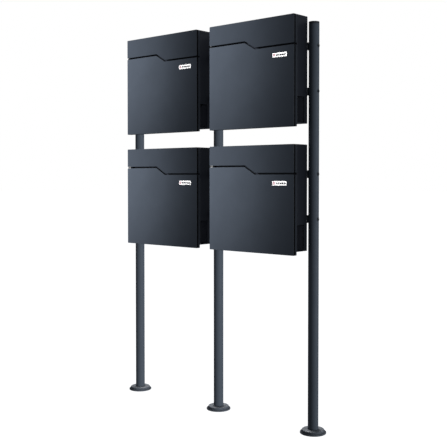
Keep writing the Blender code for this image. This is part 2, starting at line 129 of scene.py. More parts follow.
# ---- Name plate: its lowest corner and size, then the print as shares of its width and height ----
PLATE = PLATE_LOW - BOX_ORIGIN
PLATE_SIZE = PLATE_HIGH - PLATE_LOW
DASHES = ((0.24, 0.37), (0.39, 0.50), (0.52, 0.63), (0.65, 0.79), (0.81, 0.94))
RULE = ((0.24, 0.94), (0.14, 0.19))
LINE_MARKS = [(dash, (0.32, 0.68)) for dash in DASHES] + [RULE]
MARKER = ((0.04, 0.19), (0.17, 0.83))

# ---- Stand and fixings ----
FIT = 0.0003
POST_RADIUS = (POST_HIGH.x - POST_LOW.x) / 2.0
POST_WALL = 0.003
PLUG_RADIUS = POST_RADIUS - POST_WALL - FIT
ANCHOR_CIRCLE, ANCHOR_HOLE = 0.029, 0.0045
BAR_WALL, BOLT_HOLE = 0.003, 0.0033
SCREW_SHARES = (0.2, 0.8)
BOLT_HEAD_RADIUS, BOLT_HEAD_HEIGHT = 0.0050, 0.0022
WASHER_RADIUS, WASHER_THICKNESS = 0.0062, 0.0008
SEAT = WASHER_THICKNESS + 0.00005
NUT_RADIUS, NUT_HEIGHT = 0.0058, 0.0050
SCREW_HEAD_RADIUS, SCREW_HEAD_HEIGHT = 0.0048, 0.0026


# ---- Mesh tools ----
def arc(centre, radius, start, end, steps):
    """Points along an arc, angles in degrees."""
    points = []
    for step in range(steps + 1):
        angle = math.radians(start + (end - start) * step / steps)
        points.append((centre[0] + radius * math.cos(angle), centre[1] + radius * math.sin(angle)))
    return points


def filleted(outline, radius, steps=4):
    """The outline with each corner rounded to the same radius."""
    result = []
    count = len(outline)
    for index in range(count):
        here = Vector(outline[index])
        back = (Vector(outline[index - 1]) - here).normalized()
        ahead = (Vector(outline[(index + 1) % count]) - here).normalized()
        half = back.angle(ahead) / 2.0
        centre = here + (back + ahead).normalized() * radius / math.sin(half)
        first = here + back * radius / math.tan(half) - centre
        turn = first.angle_signed(here + ahead * radius / math.tan(half) - centre)
        for step in range(steps + 1):
            angle = -turn * step / steps
            result.append(tuple(centre + Matrix.Rotation(angle, 2) @ first))
    return result


def inset(outline, distance):
    """The outline moved inwards by a distance, with mitred corners."""
    result = []
    count = len(outline)
    for index in range(count):
        here = Vector(outline[index])
        first = (here - Vector(outline[index - 1])).normalized()
        second = (Vector(outline[(index + 1) % count]) - here).normalized()
        normal = Vector((-first.y, first.x))
        mitre = (normal + Vector((-second.y, second.x))).normalized()
        result.append(tuple(here + mitre * distance / mitre.dot(normal)))
    return result


def rectangle(x_range, z_range):
    """The four corners of a rectangle between two ranges."""
    return [(x_range[0], z_range[0]), (x_range[1], z_range[0]),
            (x_range[1], z_range[1]), (x_range[0], z_range[1])]


def span(centre, width):
    """A range of a given width about a centre."""
    return (centre - width / 2.0, centre + width / 2.0)


def point_on(axis, across, up, along):
    """A 3-D point from an outline's two coordinates and its place along the axis."""
    if axis == "X":
        return Vector((along, across, up))
    if axis == "Y":
        return Vector((across, along, up))
    return Vector((across, up, along))


def rings_mesh(rings, axis="Y", closed=False):
    """A mesh through rings, each (outline, place along the axis): capped, or closed on itself."""
    bm = bmesh.new()
    loops = [[bm.verts.new(point_on(axis, a, b, along)) for a, b in outline]
             for outline, along in rings]
    count = len(loops[0])
    for near, far in zip(loops, loops[1:] + loops[:1] if closed else loops[1:]):
        for index in range(count):
            after = (index + 1) % count
            bm.faces.new([near[index], near[after], far[after], far[index]])
    if not closed:
        bm.faces.new(loops[0])
        bm.faces.new(loops[-1])
    return bm


def prism(outline, axis, low, high, chamfer=0.0):
    """An outline extruded along an axis, with chamfered ends if asked."""
    if not chamfer:
        return rings_mesh([(outline, low), (outline, high)], axis)
    small = inset(outline, chamfer)
    return rings_mesh([(small, low), (outline, low + chamfer),
                       (outline, high - chamfer), (small, high)], axis)


def block(x_range, y_range, z_range):
    """A plain box between three ranges."""
    return prism(rectangle(x_range, y_range), "Z", *z_range)


def tray(outline, front, depth, wall, bend, groove=None):
    """A folded sheet tray whose front bends and rim are rounded."""
    steps, rim, least_bend = 5, 0.00025, 0.0003
    tight = max(bend - wall, least_bend)
    outer, inner = [], []
    for step in range(steps + 1):
        angle = math.pi / 2.0 * step / steps
        across, along = 1.0 - math.sin(angle), 1.0 - math.cos(angle)
        outer.append((inset(outline, bend * across), front + bend * along))
        inner.append((inset(outline, wall + tight * across), front + wall + tight * along))
    if groove:
        sunk = inset(outline, SHADOW_LINE_DEPTH)
        outer += [(sunk, groove[0]), (sunk, groove[1]), (outline, groove[1])]
    back = front + depth
    lip = [(outline, back - rim), (inset(outline, rim), back),
           (inset(outline, wall - rim), back), (inset(outline, wall), back - rim)]
    return rings_mesh(outer + lip + inner[::-1])


def turned(profile, axis="Z", centre=(0.0, 0.0, 0.0), segments=48):
    """A profile of (radius, place along the axis) spun round an axis through centre."""
    bm = bmesh.new()
    middle = Vector(centre)
    verts = []
    for radius, along in profile:
        offset = Vector((along, radius, 0.0)) if axis == "X" else point_on(axis, radius, 0.0, along)
        verts.append(bm.verts.new(middle + offset))
    pairs = list(zip(verts, verts[1:]))
    if profile[0][0] > 0.0:
        pairs.append((verts[-1], verts[0]))
    edges = [bm.edges.new(pair) for pair in pairs]
    direction = {"X": (1, 0, 0), "Y": (0, 1, 0), "Z": (0, 0, 1)}[axis]
    bmesh.ops.spin(bm, geom=verts + edges, cent=middle, axis=direction,
                   angle=math.tau, steps=segments, use_merge=True)
    bmesh.ops.remove_doubles(bm, verts=bm.verts[:], dist=MERGE_DISTANCE)
    return bm


def bar(axis, centre, radius, low, high, chamfer=0.0, segments=24):
    """A round bar, with chamfered ends if asked."""
    profile = [(0.0, low), (radius, low), (radius, high), (0.0, high)]
    if chamfer:
        profile = [(0.0, low), (radius - chamfer, low), (radius, low + chamfer),
                   (radius, high - chamfer), (radius - chamfer, high), (0.0, high)]
    return turned(profile, axis, centre, segments)


def joined(*parts):
    """Several bmeshes in one."""
    whole = bmesh.new()
    for part in parts:
        mesh = bpy.data.meshes.new("part")
        part.to_mesh(mesh)
        part.free()
        whole.from_mesh(mesh)
        bpy.data.meshes.remove(mesh)
    return whole


def oriented(bm):
    """The same bmesh with every face turned outwards."""
    bmesh.ops.recalc_face_normals(bm, faces=bm.faces[:])
    return bm


def cut(bm, tools, bevel=0.0):
    """Take tools away from a solid, then break its edges with a small bevel if asked."""
    def operand(source):
        mesh = bpy.data.meshes.new("operand")
        oriented(source).to_mesh(mesh)
        source.free()
        item = bpy.data.objects.new("operand", mesh)
        bpy.context.scene.collection.objects.link(item)
        return item

    body = operand(bm)
    helpers = [operand(tool) for tool in tools]
    for helper in helpers:
        modifier = body.modifiers.new("cut", "BOOLEAN")
        modifier.operation = "DIFFERENCE"
        modifier.solver = "EXACT"
        modifier.object = helper
    if bevel:
        modifier = body.modifiers.new("edge", "BEVEL")
        modifier.width = bevel
        modifier.segments = 2
        modifier.limit_method = "ANGLE"
        modifier.angle_limit = BEVELLED_FROM
        modifier.use_clamp_overlap = True
    graph = bpy.context.evaluated_depsgraph_get()
    result = bmesh.new()
    result.from_mesh(body.evaluated_get(graph).to_mesh())
    bmesh.ops.dissolve_degenerate(result, edges=result.edges[:], dist=2.0 * MERGE_DISTANCE)
    for item in [body, *helpers]:
        mesh = item.data
        bpy.data.objects.remove(item)
        bpy.data.meshes.remove(mesh)
    return result


def finished_mesh(name, bm, material):
    """A shaded mesh with one material."""
    mesh = bpy.data.meshes.new(name)
    oriented(bm).to_mesh(mesh)
    bm.free()
    mesh.materials.append(material)
    mesh.shade_smooth()
    mesh.set_sharp_from_angle(angle=SMOOTH)
    return mesh


def place(name, mesh, location, body, nodes=()):
    """One visible piece: it rides on a body and may stand for CAD nodes."""
    piece = bpy.data.objects.new(name, mesh)
    piece.location = location
    bpy.context.scene.collection.objects.link(piece)
    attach(piece, body)
    if nodes:
        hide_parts(*nodes)
    return piece


# ---- Materials ----
class Nodes:
    """Short calls for building a material's node tree."""

    def __init__(self, name):
        self.material = bpy.data.materials.new(name)
        self.material.use_nodes = True
        self.tree = self.material.node_tree
        self.shader = self.tree.nodes["Principled BSDF"]
        self.coordinates = self.add("TexCoord")

    def add(self, kind, **values):
        """A node with set values; an underscore in a value's name stands for a space."""
        node = self.tree.nodes.new("ShaderNode" + kind)
        for name, value in values.items():
            node.inputs[name.replace("_", " ")].default_value = value
        return node

    def link(self, source, target):
        self.tree.links.new(source, target)

    def noise(self, scale, detail=2.0, roughness=0.5, stretch=None):
        """A noise in object space, stretched along an axis if asked."""
        node = self.add("TexNoise", Scale=scale, Detail=detail, Roughness=roughness)
        source = self.coordinates.outputs["Object"]
        if stretch:
            mapping = self.add("Mapping", Scale=stretch)
            self.link(source, mapping.inputs["Vector"])
            source = mapping.outputs["Vector"]
        self.link(source, node.inputs["Vector"])
        return node.outputs["Fac"]

    def spread(self, value, low=0.0, high=1.0, start=0.3, end=0.7):
        """Map a noise onto a range of values."""
        node = self.add("MapRange", From_Min=start, From_Max=end, To_Min=low, To_Max=high)
        self.link(value, node.inputs["Value"])
        return node.outputs["Result"]

    def blend_colours(self, factor, first, second):
        """Mix two colours, each a tuple or a socket, by a factor."""
        node = self.add("Mix")
        node.data_type = "RGBA"
        for socket, colour in (("A", first), ("B", second)):
            target = [i for i in node.inputs if i.name == socket and i.type == "RGBA"][0]
            if isinstance(colour, tuple):
                target.default_value = (*colour, 1.0)
            else:
                self.link(colour, target)
        self.link(factor, node.inputs["Factor"])
        return [o for o in node.outputs if o.type == "RGBA"][0]

    def bump(self, height, distance, strength, below=None):
        """A bump from a height, over another bump if one is given."""
        node = self.add("Bump", Distance=distance, Strength=strength)
        self.link(height, node.inputs["Height"])
        if below:
            self.link(below, node.inputs["Normal"])
        return node.outputs["Normal"]

    def worn_edges(self, radius):
        """A mask, from 0 to 1, over the last bit of a surface beside its sharp edges."""
        soft = self.add("Bevel", Radius=radius)
        soft.samples = 4
        agreement = self.add("VectorMath")
        agreement.operation = "DOT_PRODUCT"
        self.link(soft.outputs["Normal"], agreement.inputs[0])
        self.link(self.add("NewGeometry").outputs["Normal"], agreement.inputs[1])
        return self.spread(agreement.outputs["Value"], 1.0, 0.0, start=0.80, end=0.98)

    def facing_up(self):
        """How far a surface looks up, from 0 to 1."""
        split = self.add("SeparateXYZ")
        self.link(self.coordinates.outputs["Normal"], split.inputs["Vector"])
        return self.spread(split.outputs["Z"], start=0.55, end=0.95)

    def times(self, first, second):
        node = self.add("Math")
        node.operation = "MULTIPLY"
        self.link(first, node.inputs[0])
        self.link(second, node.inputs[1])
        return node.outputs["Value"]

    def set(self, name, value):
        """Give one of the shader's inputs a value or a socket."""
        target = self.shader.inputs[name]
        if hasattr(value, "links"):
            self.link(value, target)
        else:
            target.default_value = value


DUST = (0.30, 0.29, 0.27)
WORN = (0.16, 0.17, 0.18)


def shade(colour, factor):
    """A colour made lighter or darker."""
    return tuple(min(1.0, part * factor) for part in colour)


def powder_coat(name, colour, roughness):
    """Satin powder coat: cloudy colour and gloss, rubbed edges, dust on top, orange peel, grain."""
    nodes = Nodes(name)
    cloud = nodes.spread(nodes.noise(scale=9.0, detail=4.0, roughness=0.6))
    coat = nodes.blend_colours(cloud, shade(colour, 0.94), shade(colour, 1.07))
    scuffs = nodes.noise(scale=110.0, detail=5.0, roughness=0.7)
    rubbed = nodes.spread(scuffs, high=0.55, start=0.42, end=0.66)
    coat = nodes.blend_colours(nodes.times(nodes.worn_edges(radius=0.0006), rubbed), coat, WORN)
    specks = nodes.noise(scale=60.0, detail=6.0, roughness=0.7)
    dust = nodes.times(nodes.facing_up(), nodes.spread(specks, 0.02, 0.14))
    nodes.set("Base Color", nodes.blend_colours(dust, coat, DUST))
    gloss = nodes.noise(scale=32.0, detail=5.0, roughness=0.65)
    nodes.set("Roughness", nodes.spread(gloss, roughness - 0.035, roughness + 0.035))
    grain = nodes.bump(nodes.noise(scale=4200.0, detail=1.0), distance=0.00002, strength=0.5)
    peel = nodes.noise(scale=780.0, detail=2.0, roughness=0.4)
    nodes.set("Normal", nodes.bump(peel, distance=0.00005, strength=0.5, below=grain))
    return nodes.material


def brushed(name, colour, roughness, stretch):
    """Drawn or brushed metal: fine lines along one direction."""
    nodes = Nodes(name)
    lines = nodes.noise(scale=900.0, detail=3.0, roughness=0.6, stretch=stretch)
    tint = nodes.blend_colours(nodes.spread(lines), shade(colour, 0.82), colour)
    nodes.set("Base Color", tint)
    nodes.set("Metallic", 1.0)
    nodes.set("Roughness", nodes.spread(lines, roughness - 0.06, roughness + 0.08))
    nodes.set("Normal", nodes.bump(lines, distance=0.00002, strength=0.35))
    return nodes.material


def plated(name, colour, roughness):
    """Plated metal with faint smudges."""
    nodes = Nodes(name)
    smudge = nodes.noise(scale=140.0, detail=5.0, roughness=0.6)
    tint = nodes.blend_colours(nodes.spread(smudge), shade(colour, 0.9), colour)
    nodes.set("Base Color", tint)
    nodes.set("Metallic", 1.0)
    nodes.set("Roughness", nodes.spread(smudge, roughness - 0.03, roughness + 0.06))
    return nodes.material


def moulded(name, colour, roughness, specular=0.5):
    """Moulded plastic or rubber with a fine spark-eroded grain."""
    nodes = Nodes(name)
    grain = nodes.noise(scale=2600.0, detail=2.0)
    cloud = nodes.noise(scale=40.0, detail=4.0, roughness=0.6)
    tint = nodes.blend_colours(nodes.spread(cloud), colour, shade(colour, 1.12))
    nodes.set("Base Color", tint)
    nodes.set("Roughness", nodes.spread(cloud, roughness - 0.04, roughness + 0.05))
    nodes.set("Normal", nodes.bump(grain, distance=0.00004, strength=0.6))
    nodes.set("Specular IOR Level", specular)
    return nodes.material


def card(name, colour, roughness):
    """Printed card under clear film: paper fibre below a glossy coat."""
    nodes = Nodes(name)
    fibre = nodes.noise(scale=1500.0, detail=5.0, roughness=0.7)
    tint = nodes.blend_colours(nodes.spread(fibre), shade(colour, 0.95), colour)
    nodes.set("Base Color", tint)
    nodes.set("Roughness", nodes.spread(fibre, roughness - 0.05, roughness + 0.05))
    nodes.set("Coat Weight", 0.5)
    nodes.set("Coat Roughness", 0.12)
    nodes.set("Normal", nodes.bump(fibre, distance=0.00001, strength=0.3))
    return nodes.material


def make_looks():
    """Every material by the short name that the pieces use."""
    return {
        "front": powder_coat("front_powder", (0.046, 0.055, 0.070), 0.42),
        "case": powder_coat("case_powder", (0.030, 0.034, 0.046), 0.46),
        "inside": powder_coat("inside_powder", (0.020, 0.023, 0.029), 0.55),
        "post": powder_coat("post_powder", (0.040, 0.049, 0.062), 0.44),
        "foot": powder_coat("foot_powder", (0.047, 0.054, 0.066), 0.46),
        "bracket": powder_coat("bracket_powder", (0.022, 0.025, 0.031), 0.50),
        "cap": moulded("cap_plastic", (0.020, 0.022, 0.026), 0.52),
        # This near-black, low-sheen finish is rubber on the seam stops and painted shade on the
        # strips in the fronts' grooves.
        "rubber": moulded("black_rubber", (0.003, 0.003, 0.0035), 0.85, specular=0.12),
        "fixing": plated("fixing_black_oxide", (0.060, 0.062, 0.068), 0.38),
        "rod": brushed("rod_steel", (0.55, 0.55, 0.56), 0.34, stretch=(0.02, 1.0, 1.0)),
        "pin": brushed("pin_steel", (0.55, 0.55, 0.56), 0.34, stretch=(1.0, 1.0, 0.02)),
        "chrome": plated("lock_chrome", (0.72, 0.72, 0.73), 0.14),
        "zinc": plated("cam_zinc", (0.56, 0.56, 0.53), 0.36),
        "label": card("name_label", (0.86, 0.85, 0.84), 0.35),
        "ink": card("label_ink", (0.020, 0.020, 0.024), 0.40),
        "accent": card("label_accent", (0.36, 0.22, 0.24), 0.40),
    }


# ---- Front shells ----
def seam_line(offset):
    """The stepped seam from left to right, moved up by an offset square to itself."""
    line = [Vector((0.0, SEAM_LEFT)), Vector((SEAM_STEP[0], SEAM_LEFT)),
            Vector((SEAM_STEP[1], SEAM_RIGHT)), Vector((WIDTH, SEAM_RIGHT))]
    slope = line[2] - line[1]
    slide = offset * math.tan(math.atan2(-slope.y, slope.x) / 2.0)
    moves = [0.0, slide, slide, 0.0]
    return [(point.x + move, point.y + offset) for point, move in zip(line, moves)]


def flap_outline():
    """The flap above the seam."""
    return filleted(seam_line(SEAM_GAP / 2.0) + [(WIDTH, 0.0), (0.0, 0.0)], CORNER)


def door_outline():
    """The door below the seam."""
    top = seam_line(-SEAM_GAP / 2.0)[::-1]
    return filleted([(0.0, DOOR_BOTTOM), (WIDTH, DOOR_BOTTOM)] + top, CORNER)


def hinge_relief(along_wall, outward):
    """What is cut from a return beyond its hinge axis, so that it turns clear of the case."""
    corner = arc((AXIS_Y, along_wall), AXIS_INSET, 0.0, outward * 90.0, 8)
    far = SHELL_DEPTH + AXIS_INSET
    beyond = along_wall + outward * (AXIS_INSET + OVERSHOOT)
    return [(far, along_wall)] + corner + [(AXIS_Y, beyond), (far, beyond)]


def swap(outline):
    """The outline with its two coordinates exchanged."""
    return [(b, a) for a, b in outline]


def flap_shell():
    """The flap: its tray, less the hinge relief, the rod holes and the notches for the eyes."""
    tools = [prism(hinge_relief(-AXIS_INSET, 1), "X", -OVERSHOOT, WIDTH + OVERSHOOT)]
    tools += [bar("X", FLAP_AXIS, ROD_HOLE, *span(x, 4.0 * SHEET)) for x in (0.0, WIDTH)]
    tools += [block(span(x, NOTCH_WIDTH), NOTCH_Y, (-2.0 * SHEET, OVERSHOOT))
              for x in FLAP_EYES]
    return cut(tray(flap_outline(), 0.0, SHELL_DEPTH, SHEET, BEND, SHADOW_LINE), tools)


def door_shell():
    """The door, made as the flap is, with its hinge along the left side."""
    tools = [prism(swap(hinge_relief(AXIS_INSET, -1)), "Z", DOOR_BOTTOM - OVERSHOOT, SEAM_LEFT)]
    tools += [bar("Z", DOOR_AXIS, ROD_HOLE, *span(z, 4.0 * SHEET))
              for z in (DOOR_BOTTOM, SEAM_LEFT - SEAM_GAP / 2.0)]
    tools += [block((-OVERSHOOT, 2.0 * SHEET), NOTCH_Y, span(z, NOTCH_WIDTH))
              for z in DOOR_EYES]
    return cut(tray(door_outline(), 0.0, SHELL_DEPTH, SHEET, BEND, SHADOW_LINE), tools)


def painted_shadow_strip(outline):
    """The black strip laid into the groove behind a front's bend: painted shade, standing in for a
    shadow line there.
    """
    play = 0.00005
    low, high = SHADOW_LINE[0] + play, SHADOW_LINE[1] - play
    outside, inside = inset(outline, 2.0 * play), inset(outline, SHADOW_LINE_DEPTH - play)
    return rings_mesh([(outside, low), (outside, high), (inside, high), (inside, low)], closed=True)


def seam_buffers():
    """Rubber stops on the case that fill the seam at both ends."""
    half, corner = 0.0017, 0.0006
    reach = (BUFFER_FRONT, CASE_FRONT + SHEET / 2.0)
    return joined(*[prism(filleted(rectangle(x_range, (z - half, z + half)), corner, 3),
                          "Y", *reach, EDGE) for x_range, z in BUFFERS])


def striker():
    """The hook on the door that the cam drops in front of, with its weld foot."""
    foot, corner = 0.012, 0.0008
    front = SHEET * 0.9
    lip_front, lip_back = STRIKER_LIP
    low, top = STRIKER_ARM
    foot_drop = low - foot
    foot_back = front + top - low
    outline = [(front, foot_drop), (foot_back, foot_drop), (foot_back, low),
               (lip_back - corner, low), (lip_back, low + corner),
               (lip_back, STRIKER_LIP_TOP), (lip_front, STRIKER_LIP_TOP),
               (lip_front, top), (front, top)]
    return prism(outline, "X", LOCK_X - STRIKER_HALF, LOCK_X + STRIKER_HALF, FINE_EDGE)


# ---- Case ----
def case_outline():
    """The outline that the case and its back panel share."""
    return filleted(rectangle((0.0, WIDTH), (CASE_BOTTOM, 0.0)), CORNER)


def case_skin():
    """The folded case with punched openings and the lid's lapped edge."""
    through = (CASE_FRONT - OVERSHOOT, CASE_FRONT + SHEET + OVERSHOOT)
    lap = (CASE_FRONT + 0.002, CASE_BACK + OVERSHOOT)
    tools = [prism(filleted(rectangle(*DOORWAY), 0.004), "Y", *through),
             prism(filleted(rectangle(*LETTER_SLOT), 0.003), "Y", *through),
             prism(filleted(rectangle(*PAPER_SLOT), 0.002), "X", -OVERSHOOT, WIDTH + OVERSHOOT),
             bar("Y", LOCK, LOCK_HOLE, *through),
             block((-OVERSHOOT, LID_GROOVE), lap, LID_EDGE),
             block((WIDTH - LID_GROOVE, WIDTH + OVERSHOOT), lap, LID_EDGE)]
    shell = tray(case_outline(), CASE_FRONT, CASE_BACK - CASE_FRONT, SHEET, BEND)
    return cut(shell, tools, bevel=0.00022)


def hinge_eyes():
    """The rounded lugs that hold the two rods."""
    root = CASE_FRONT + SHEET / 2.0

    def lug(along_wall):
        nose = arc((AXIS_Y, along_wall), EYE_RADIUS, -90.0, -270.0, 12)
        return [(root, along_wall - EYE_RADIUS)] + nose + [(root, along_wall + EYE_RADIUS)]

    flap_side = ("X", lug(-AXIS_INSET), FLAP_AXIS, FLAP_EYES)
    door_side = ("Z", swap(lug(AXIS_INSET))[::-1], DOOR_AXIS, DOOR_EYES)
    return joined(*[cut(prism(outline, axis, *span(along, EYE_WIDTH), FINE_EDGE),
                        [bar(axis, centre, ROD_HOLE, *span(along, 2.0 * EYE_WIDTH))])
                    for axis, outline, centre, eyes in (flap_side, door_side) for along in eyes])


def back_skin():
    """The back panel with broken edges."""
    return prism(case_outline(), "Y", BACK_FRONT, BACK_BACK, EDGE)


def rivet(x, z):
    """A pop rivet's domed head with its mandrel hole."""
    radius, height, sunk = 0.0026, 0.0007, 0.0002
    low = BACK_BACK - sunk
    profile = [(0.0, low), (radius, low), (radius * 0.92, low + height * 0.5),
               (radius * 0.6, low + height * 0.9), (radius * 0.36, low + height),
               (radius * 0.32, low + height * 0.5), (0.0, low + height * 0.45)]
    return turned(profile, "Y", (x, 0.0, z), 20)


def back_rivets():
    """Four rivets down each side of the back panel and three along its top and its foot."""
    edge_inset, rows, columns = 0.009, 4, 5
    heights = [CASE_BOTTOM * (row + 0.5) / rows for row in range(rows)]
    places = [(x, z) for x in (edge_inset, WIDTH - edge_inset) for z in heights]
    for column in range(1, columns - 1):
        x = edge_inset + (WIDTH - 2.0 * edge_inset) * column / (columns - 1)
        places += [(x, -edge_inset), (x, CASE_BOTTOM + edge_inset)]
    return joined(*[rivet(x, z) for x, z in places])


# ---- Rods and lock ----
def flap_pin():
    """The rod along the flap's top edge."""
    return bar("X", FLAP_AXIS, ROD_RADIUS, ROD_END, WIDTH - ROD_END, EDGE)


def door_pin():
    """The rod along the door's left edge, which ends just above the door."""
    above = 0.0006
    top = SEAM_LEFT - SEAM_GAP / 2.0 + above
    return bar("Z", DOOR_AXIS, ROD_RADIUS, DOOR_BOTTOM + ROD_END, top, EDGE)


def lock_body():
    """The lock's flanged barrel, threaded behind its head, and its round tail."""
    head, barrel, root, tail = 0.0095, 0.0080, 0.0075, 0.0030
    recess, recess_depth, head_bevel = 0.0062, 0.0008, 0.0006
    pitch = 0.0008
    front = BARREL_LOW.y - BOX_ORIGIN.y
    seat = CASE_FRONT - FIT
    shoulder = CAM_LOW.y - BOX_ORIGIN.y - FIT
    end = BARREL_HIGH.y - BOX_ORIGIN.y
    profile = [(0.0, front + recess_depth), (recess, front + recess_depth), (0.0066, front),
               (0.0088, front), (head, front + head_bevel), (head, seat), (barrel, seat)]
    along = seat + pitch
    while along + pitch < shoulder:
        profile += [(barrel, along), (root, along + pitch / 2.0)]
        along += pitch
    profile += [(barrel, shoulder - 0.0002), (0.0076, shoulder), (tail, shoulder),
                (tail, end - 0.0004), (0.0026, end), (0.0, end)]
    return turned(profile, "Y", LOCK, 40)


def lock_plug():
    """The key plug in the barrel's face, with its keyway."""
    radius, sunk, depth = 0.0056, 0.0002, 0.0040
    key_width, key_height, key_depth = 0.0018, 0.0074, 0.0030
    front = BARREL_LOW.y - BOX_ORIGIN.y
    face = bar("Y", LOCK, radius, front + sunk, front + depth, FINE_EDGE, 32)
    keyway = block(span(LOCK.x, key_width), (front - OVERSHOOT, front + key_depth),
                   span(LOCK.z, key_height))
    return cut(face, [keyway])


def hexagon(radius, centre=(0.0, 0.0)):
    """A hexagon's outline by the radius to its corners."""
    return arc(centre, radius, 0.0, 300.0, 5)


def lock_nut():
    """The flat nut behind the case frame that holds the barrel."""
    corner_radius, bore, height = 0.0112, 0.0082, 0.0028
    low = CASE_FRONT + SHEET + 0.0002
    body = prism(hexagon(corner_radius, (LOCK.x, LOCK.z)), "Y", low, low + height, EDGE)
    return cut(body, [bar("Y", LOCK, bore, low - OVERSHOOT, low + 2.0 * height)])


def cam_plate():
    """The cam, unlocked: an arm that points left from its eye on the barrel's tail."""
    half, eye_radius, bore = 0.006, 0.008, 0.0033
    front, back = CAM_LOW.y - BOX_ORIGIN.y, CAM_HIGH.y - BOX_ORIGIN.y
    left = CAM_LOW.x - BOX_ORIGIN.x
    lean = math.degrees(math.acos(-half / eye_radius)) - 90.0
    eye = arc((LOCK.x, LOCK.z), eye_radius, -180.0 + lean, 180.0 - lean, 20)
    tip = arc((left + half, LOCK.z), half, 90.0, 270.0, 12)
    hole = bar("Y", LOCK, bore, front - OVERSHOOT, back + OVERSHOOT)
    return cut(prism(eye + tip, "Y", front, back, FINE_EDGE), [hole])


# ---- Name plate ----
def label():
    """The blank label, a little behind the CAD plate's face to leave room for the print."""
    corner, behind = 0.0012, 0.0003
    outline = filleted(rectangle((PLATE.x, PLATE.x + PLATE_SIZE.x),
                                 (PLATE.z, PLATE.z + PLATE_SIZE.z)), corner)
    return prism(outline, "Y", PLATE.y + behind, PLATE.y + PLATE_SIZE.y + behind, FINE_EDGE)


def printed(x_shares, z_shares):
    """A raised patch of ink on the label, as shares of its width and height."""
    corner, front, back = 0.0004, 0.00022, 0.0004
    x_range = [PLATE.x + PLATE_SIZE.x * share for share in x_shares]
    z_range = [PLATE.z + PLATE_SIZE.z * share for share in z_shares]
    return prism(filleted(rectangle(x_range, z_range), corner, 2), "Y",
                 PLATE.y + front, PLATE.y + back)


# ---- Stand ----
def post_tube():
    """A post: a round tube with broken edges."""
    low, high = POST_LOW.z, POST_HIGH.z
    inner = POST_RADIUS - POST_WALL
    profile = [(POST_RADIUS - EDGE, low), (POST_RADIUS, low + EDGE), (POST_RADIUS, high - EDGE),
               (POST_RADIUS - EDGE, high), (inner, high), (inner, low)]
    return turned(profile, segments=ROUND)


def cap_body():
    """A push-in cap: crowned top, rounded rim, a shadow line above the tube and a hollow plug."""
    rounding, line_depth, wall, plug_edge = 0.0014, 0.0006, 0.002, 0.001
    top, foot = CAP_HIGH.z, CAP_LOW.z
    seat = POST_HIGH.z + FIT
    radius, plug = POST_RADIUS, PLUG_RADIUS
    profile = [(0.0, top), (radius * 0.55, top - 0.0001), (radius * 0.85, top - 0.0004)]
    profile += [(radius - rounding + r, top - 0.0020 + h)
                for r, h in arc((0.0, 0.0), rounding, 80.0, 0.0, 6)]
    profile += [(radius, seat + 0.0008), (radius - line_depth, seat + 0.0005),
                (radius - line_depth, seat), (plug, seat), (plug, foot + plug_edge),
                (plug - plug_edge, foot), (plug - wall, foot), (plug - wall, seat),
                (0.0, seat + 0.001)]
    return turned(profile, segments=ROUND)


def flange_plate():
    """The foot flange: a rounded plate with a boss inside the post and four anchor holes."""
    rounding, under_edge, boss_edge = 0.0012, 0.0006, 0.001
    radius = (FLANGE_HIGH.x - FLANGE_LOW.x) / 2.0
    top, boss_top = ROSETTE_LOW.z - FIT, FLANGE_HIGH.z
    boss = PLUG_RADIUS
    profile = [(0.0, 0.0), (radius - under_edge, 0.0), (radius, under_edge)]
    profile += [(radius - rounding + r, top - rounding + h)
                for r, h in arc((0.0, 0.0), rounding, 0.0, 90.0, 5)]
    profile += [(boss, top), (boss, boss_top - boss_edge), (boss - boss_edge, boss_top),
                (0.0, boss_top)]
    anchor_holes = []
    for quarter in range(4):
        angle = math.radians(45.0 + 90.0 * quarter)
        centre = (ANCHOR_CIRCLE * math.cos(angle), ANCHOR_CIRCLE * math.sin(angle), 0.0)
        anchor_holes.append(bar("Z", centre, ANCHOR_HOLE, -OVERSHOOT, top + OVERSHOOT, segments=28))
    return cut(turned(profile, segments=ROUND), anchor_holes)


def rosette_ring():
    """The pressed cover ring: a domed shoulder, a flat top and a rolled-in bore."""
    radius = (ROSETTE_HIGH.x - ROSETTE_LOW.x) / 2.0
    low, top = ROSETTE_LOW.z, ROSETTE_HIGH.z
    bore = POST_RADIUS + 0.0004
    wall, shoulder = 0.0012, 0.0034
    outer = [(radius, low), (radius, top - shoulder)]
    outer += [(radius - shoulder + r, top - shoulder + h)
              for r, h in arc((0.0, 0.0), shoulder, 12.0, 84.0, 7)]
    outer += [(bore + 0.0012, top), (bore, top - 0.0008)]
    inner = [(bore, top - wall - 0.0006), (bore + 0.001, top - wall), (radius - shoulder, top - wall),
             (radius - wall, top - shoulder - 0.0002), (radius - wall, low)]
    return turned(outer + inner, segments=ROUND)


def crossbar_strip():
    """A flat bar with both ends bent back beside the posts, rounded at its bends."""
    outside, inside = 0.0042, 0.0012
    half = (BAR_HIGH.x - BAR_LOW.x) / 2.0
    height = BAR_HIGH.z - BAR_LOW.z
    front, tab_end = BAR_LOW.y, BAR_HIGH.y
    hollow, bend_y = half - BAR_WALL, front + BAR_WALL + inside
    outline = arc((-half + outside, front + outside), outside, 180.0, 270.0, 6)
    outline += arc((half - outside, front + outside), outside, 270.0, 360.0, 6)
    outline += [(half, tab_end), (hollow, tab_end)]
    outline += arc((hollow - inside, bend_y), inside, 0.0, -90.0, 4)
    outline += arc((-hollow + inside, bend_y), inside, 270.0, 180.0, 4)
    outline += [(-hollow, tab_end), (-half, tab_end)]
    bore = bar("X", (0.0, 0.0, 0.0), BOLT_HOLE, -half - OVERSHOOT, half + OVERSHOOT)
    return cut(prism(outline, "Z", *span(0.0, height), EDGE), [bore])


def washer():
    """A flat washer that stands out along X from zero."""
    return bar("X", (0.0, 0.0, 0.0), WASHER_RADIUS, 0.0, WASHER_THICKNESS, FINE_EDGE, 48)


def mirrored(part):
    """The same fixing for the other side of a post."""
    bmesh.ops.scale(part, vec=(-1.0, 1.0, 1.0), verts=part.verts[:])
    return part


